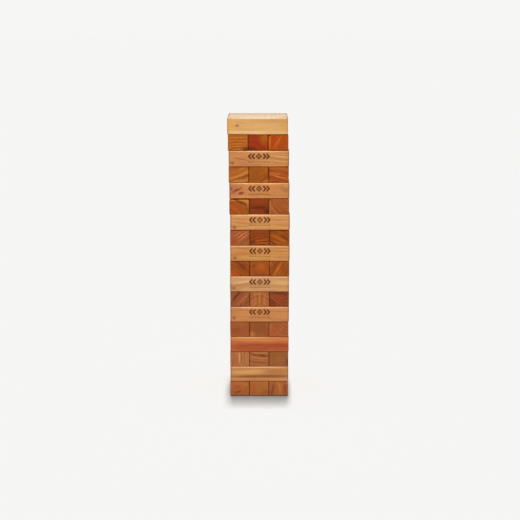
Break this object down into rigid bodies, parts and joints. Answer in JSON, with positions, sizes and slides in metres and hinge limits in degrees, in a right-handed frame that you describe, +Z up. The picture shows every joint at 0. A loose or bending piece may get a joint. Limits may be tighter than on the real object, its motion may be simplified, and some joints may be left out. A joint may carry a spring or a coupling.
{
  "type": "giant tumbling tower",
  "caption": "Free-standing lawn game tower of planed softwood blocks with eased edges, laid in crosswise layers; each block slides out sideways and the top ones lift off.",
  "frame": {"origin": "on the ground, at the middle of the tower's footprint", "axes": "+Z up the tower; the front, where the odd layers show their block ends and the even layers one long side, faces -Y; +X is to the right seen from the front"},
  "size_m": [0.2345, 0.2285, 1.0797],
  "materials": {
    "wood_honey": "planed pale softwood, honey toned, satin, fine long grain",
    "wood_tan": "planed softwood, warm tan, satin, with small knots",
    "wood_amber": "planed softwood, amber to brown, satin, wide rings on the ends",
    "wood_russet": "planed softwood heart, reddish, satin",
    "wood_umber": "planed softwood, dark red-brown, satin"
  },
  "bodies": {
    "layer_01_left": {"layer_01_left": "wood_russet"},
    "layer_01_centre": {"layer_01_centre": "wood_amber"},
    "layer_01_right": {"layer_01_right": "wood_russet"},
    "layer_02_front": {"layer_02_front": "wood_tan"},
    "layer_02_middle": {"layer_02_middle": "wood_honey"},
    "layer_02_back": {"layer_02_back": "wood_tan"},
    "layer_03_left": {"layer_03_left": "wood_amber"},
    "layer_03_centre": {"layer_03_centre": "wood_amber"},
    "layer_03_right": {"layer_03_right": "wood_umber"},
    "layer_04_front": {"layer_04_front": "wood_russet"},
    "layer_04_middle": {"layer_04_middle": "wood_tan"},
    "layer_04_back": {"layer_04_back": "wood_russet"},
    "layer_05_left": {"layer_05_left": "wood_russet"},
    "layer_05_centre": {"layer_05_centre": "wood_umber"},
    "layer_05_right": {"layer_05_right": "wood_russet"},
    "layer_06_front": {"layer_06_front": "wood_tan"},
    "layer_06_middle": {"layer_06_middle": "wood_honey"},
    "layer_06_back": {"layer_06_back": "wood_tan"},
    "layer_07_left": {"layer_07_left": "wood_umber"},
    "layer_07_centre": {"layer_07_centre": "wood_amber"},
    "layer_07_right": {"layer_07_right": "wood_umber"},
    "layer_08_front": {"layer_08_front": "wood_honey"},
    "layer_08_middle": {"layer_08_middle": "wood_tan"},
    "layer_08_back": {"layer_08_back": "wood_honey"},
    "layer_09_left": {"layer_09_left": "wood_umber"},
    "layer_09_centre": {"layer_09_centre": "wood_amber"},
    "layer_09_right": {"layer_09_right": "wood_umber"},
    "layer_10_front": {"layer_10_front": "wood_tan"},
    "layer_10_middle": {"layer_10_middle": "wood_tan"},
    "layer_10_back": {"layer_10_back": "wood_honey"},
    "layer_11_left": {"layer_11_left": "wood_russet"},
    "layer_11_centre": {"layer_11_centre": "wood_umber"},
    "layer_11_right": {"layer_11_right": "wood_amber"},
    "layer_12_front": {"layer_12_front": "wood_tan"},
    "layer_12_middle": {"layer_12_middle": "wood_honey"},
    "layer_12_back": {"layer_12_back": "wood_tan"},
    "layer_13_left": {"layer_13_left": "wood_russet"},
    "layer_13_centre": {"layer_13_centre": "wood_umber"},
    "layer_13_right": {"layer_13_right": "wood_russet"},
    "layer_14_front": {"layer_14_front": "wood_tan"},
    "layer_14_middle": {"layer_14_middle": "wood_tan"},
    "layer_14_back": {"layer_14_back": "wood_russet"},
    "layer_15_left": {"layer_15_left": "wood_amber"},
    "layer_15_centre": {"layer_15_centre": "wood_umber"},
    "layer_15_right": {"layer_15_right": "wood_russet"},
    "layer_16_front": {"layer_16_front": "wood_tan"},
    "layer_16_middle": {"layer_16_middle": "wood_tan"},
    "layer_16_back": {"layer_16_back": "wood_honey"},
    "layer_17_left": {"layer_17_left": "wood_amber"},
    "layer_17_centre": {"layer_17_centre": "wood_russet"},
    "layer_17_right": {"layer_17_right": "wood_russet"},
    "layer_18_front": {"layer_18_front": "wood_honey"},
    "layer_18_middle": {"layer_18_middle": "wood_tan"},
    "layer_18_back": {"layer_18_back": "wood_honey"}
  },
  "joints": [
    {"name": "slide_layer_01_left", "type": "slide", "parent": "layer_01_centre", "child": "layer_01_left", "axis": [0, 1, 0], "range_m": [-0.235, 0.235]},
    {"name": "slide_layer_01_right", "type": "slide", "parent": "layer_01_centre", "child": "layer_01_right", "axis": [0, 1, 0], "range_m": [-0.235, 0.235]},
    {"name": "slide_layer_02_front", "type": "slide", "parent": "layer_01_centre", "child": "layer_02_front", "axis": [1, 0.0021, 0], "range_m": [-0.235, 0.235]},
    {"name": "slide_layer_02_middle", "type": "slide", "parent": "layer_01_centre", "child": "layer_02_middle", "axis": [1, 0.0021, 0], "range_m": [-0.235, 0.235]},
    {"name": "slide_layer_02_back", "type": "slide", "parent": "layer_01_centre", "child": "layer_02_back", "axis": [1, 0.0021, 0], "range_m": [-0.235, 0.235]},
    {"name": "slide_layer_03_left", "type": "slide", "parent": "layer_01_centre", "child": "layer_03_left", "axis": [0.0017, 1, 0], "range_m": [-0.235, 0.235]},
    {"name": "slide_layer_03_centre", "type": "slide", "parent": "layer_01_centre", "child": "layer_03_centre", "axis": [0.0017, 1, 0], "range_m": [-0.235, 0.235]},
    {"name": "slide_layer_03_right", "type": "slide", "parent": "layer_01_centre", "child": "layer_03_right", "axis": [0.0017, 1, 0], "range_m": [-0.235, 0.235]},
    {"name": "slide_layer_04_front", "type": "slide", "parent": "layer_01_centre", "child": "layer_04_front", "axis": [1, 0.0031, 0], "range_m": [-0.235, 0.235]},
    {"name": "slide_layer_04_middle", "type": "slide", "parent": "layer_01_centre", "child": "layer_04_middle", "axis": [1, 0.0031, 0], "range_m": [-0.235, 0.235]},
    {"name": "slide_layer_04_back", "type": "slide", "parent": "layer_01_centre", "child": "layer_04_back", "axis": [1, 0.0031, 0], "range_m": [-0.235, 0.235]},
    {"name": "slide_layer_05_left", "type": "slide", "parent": "layer_01_centre", "child": "layer_05_left", "axis": [0.0026, 1, 0], "range_m": [-0.235, 0.235]},
    {"name": "slide_layer_05_centre", "type": "slide", "parent": "layer_01_centre", "child": "layer_05_centre", "axis": [0.0026, 1, 0], "range_m": [-0.235, 0.235]},
    {"name": "slide_layer_05_right", "type": "slide", "parent": "layer_01_centre", "child": "layer_05_right", "axis": [0.0026, 1, 0], "range_m": [-0.235, 0.235]},
    {"name": "slide_layer_06_front", "type": "slide", "parent": "layer_01_centre", "child": "layer_06_front", "axis": [1, 0.0017, 0], "range_m": [-0.235, 0.235]},
    {"name": "slide_layer_06_middle", "type": "slide", "parent": "layer_01_centre", "child": "layer_06_middle", "axis": [1, 0.0017, 0], "range_m": [-0.235, 0.235]},
    {"name": "slide_layer_06_back", "type": "slide", "parent": "layer_01_centre", "child": "layer_06_back", "axis": [1, 0.0017, 0], "range_m": [-0.235, 0.235]},
    {"name": "slide_layer_07_left", "type": "slide", "parent": "layer_01_centre", "child": "layer_07_left", "axis": [-0.0038, 1, 0], "range_m": [-0.235, 0.235]},
    {"name": "slide_layer_07_centre", "type": "slide", "parent": "layer_01_centre", "child": "layer_07_centre", "axis": [-0.0038, 1, 0], "range_m": [-0.235, 0.235]},
    {"name": "slide_layer_07_right", "type": "slide", "parent": "layer_01_centre", "child": "layer_07_right", "axis": [-0.0038, 1, 0], "range_m": [-0.235, 0.235]},
    {"name": "slide_layer_08_front", "type": "slide", "parent": "layer_01_centre", "child": "layer_08_front", "axis": [1, -0.0017, 0], "range_m": [-0.235, 0.235]},
    {"name": "slide_layer_08_middle", "type": "slide", "parent": "layer_01_centre", "child": "layer_08_middle", "axis": [1, -0.0017, 0], "range_m": [-0.235, 0.235]},
    {"name": "slide_layer_08_back", "type": "slide", "parent": "layer_01_centre", "child": "layer_08_back", "axis": [1, -0.0017, 0], "range_m": [-0.235, 0.235]},
    {"name": "slide_layer_09_left", "type": "slide", "parent": "layer_01_centre", "child": "layer_09_left", "axis": [-0.0017, 1, 0], "range_m": [-0.235, 0.235]},
    {"name": "slide_layer_09_centre", "type": "slide", "parent": "layer_01_centre", "child": "layer_09_centre", "axis": [-0.0017, 1, 0], "range_m": [-0.235, 0.235]},
    {"name": "slide_layer_09_right", "type": "slide", "parent": "layer_01_centre", "child": "layer_09_right", "axis": [-0.0017, 1, 0], "range_m": [-0.235, 0.235]},
    {"name": "slide_layer_10_front", "type": "slide", "parent": "layer_01_centre", "child": "layer_10_front", "axis": [1, 0.0028, 0], "range_m": [-0.235, 0.235]},
    {"name": "slide_layer_10_middle", "type": "slide", "parent": "layer_01_centre", "child": "layer_10_middle", "axis": [1, 0.0028, 0], "range_m": [-0.235, 0.235]},
    {"name": "slide_layer_10_back", "type": "slide", "parent": "layer_01_centre", "child": "layer_10_back", "axis": [1, 0.0028, 0], "range_m": [-0.235, 0.235]},
    {"name": "slide_layer_11_left", "type": "slide", "parent": "layer_01_centre", "child": "layer_11_left", "axis": [0.0035, 1, 0], "range_m": [-0.235, 0.235]},
    {"name": "slide_layer_11_centre", "type": "slide", "parent": "layer_01_centre", "child": "layer_11_centre", "axis": [0.0035, 1, 0], "range_m": [-0.235, 0.235]},
    {"name": "slide_layer_11_right", "type": "slide", "parent": "layer_01_centre", "child": "layer_11_right", "axis": [0.0035, 1, 0], "range_m": [-0.235, 0.235]},
    {"name": "slide_layer_12_front", "type": "slide", "parent": "layer_01_centre", "child": "layer_12_front", "axis": [1, 0.0021, 0], "range_m": [-0.235, 0.235]},
    {"name": "slide_layer_12_middle", "type": "slide", "parent": "layer_01_centre", "child": "layer_12_middle", "axis": [1, 0.0021, 0], "range_m": [-0.235, 0.235]},
    {"name": "slide_layer_12_back", "type": "slide", "parent": "layer_01_centre", "child": "layer_12_back", "axis": [1, 0.0021, 0], "range_m": [-0.235, 0.235]},
    {"name": "slide_layer_13_left", "type": "slide", "parent": "layer_01_centre", "child": "layer_13_left", "axis": [0.0045, 1, 0], "range_m": [-0.235, 0.235]},
    {"name": "slide_layer_13_centre", "type": "slide", "parent": "layer_01_centre", "child": "layer_13_centre", "axis": [0.0045, 1, 0], "range_m": [-0.235, 0.235]},
    {"name": "slide_layer_13_right", "type": "slide", "parent": "layer_01_centre", "child": "layer_13_right", "axis": [0.0045, 1, 0], "range_m": [-0.235, 0.235]},
    {"name": "slide_layer_14_front", "type": "slide", "parent": "layer_01_centre", "child": "layer_14_front", "axis": [1, 0.0017, 0], "range_m": [-0.235, 0.235]},
    {"name": "slide_layer_14_middle", "type": "slide", "parent": "layer_01_centre", "child": "layer_14_middle", "axis": [1, 0.0017, 0], "range_m": [-0.235, 0.235]},
    {"name": "slide_layer_14_back", "type": "slide", "parent": "layer_01_centre", "child": "layer_14_back", "axis": [1, 0.0017, 0], "range_m": [-0.235, 0.235]},
    {"name": "slide_layer_15_left", "type": "slide", "parent": "layer_01_centre", "child": "layer_15_left", "axis": [-0.0049, 1, 0], "range_m": [-0.235, 0.235]},
    {"name": "slide_layer_15_centre", "type": "slide", "parent": "layer_01_centre", "child": "layer_15_centre", "axis": [-0.0049, 1, 0], "range_m": [-0.235, 0.235]},
    {"name": "slide_layer_15_right", "type": "slide", "parent": "layer_01_centre", "child": "layer_15_right", "axis": [-0.0049, 1, 0], "range_m": [-0.235, 0.235]},
    {"name": "slide_layer_16_front", "type": "slide", "parent": "layer_01_centre", "child": "layer_16_front", "axis": [1, -0.0031, 0], "range_m": [-0.235, 0.235]},
    {"name": "slide_layer_16_middle", "type": "slide", "parent": "layer_01_centre", "child": "layer_16_middle", "axis": [1, -0.0031, 0], "range_m": [-0.235, 0.235]},
    {"name": "slide_layer_16_back", "type": "slide", "parent": "layer_01_centre", "child": "layer_16_back", "axis": [1, -0.0031, 0], "range_m": [-0.235, 0.235]},
    {"name": "slide_layer_17_left", "type": "slide", "parent": "layer_01_centre", "child": "layer_17_left", "axis": [-0.0052, 1, 0], "range_m": [-0.235, 0.235]},
    {"name": "slide_layer_17_centre", "type": "slide", "parent": "layer_01_centre", "child": "layer_17_centre", "axis": [-0.0052, 1, 0], "range_m": [-0.235, 0.235]},
    {"name": "slide_layer_17_right", "type": "slide", "parent": "layer_01_centre", "child": "layer_17_right", "axis": [-0.0052, 1, 0], "range_m": [-0.235, 0.235]},
    {"name": "lift_layer_18_front", "type": "slide", "parent": "layer_01_centre", "child": "layer_18_front", "axis": [0, 0, 1], "range_m": [0, 0.12]},
    {"name": "lift_layer_18_middle", "type": "slide", "parent": "layer_01_centre", "child": "layer_18_middle", "axis": [0, 0, 1], "range_m": [0, 0.12]},
    {"name": "lift_layer_18_back", "type": "slide", "parent": "layer_01_centre", "child": "layer_18_back", "axis": [0, 0, 1], "range_m": [0, 0.12]}
  ]
}
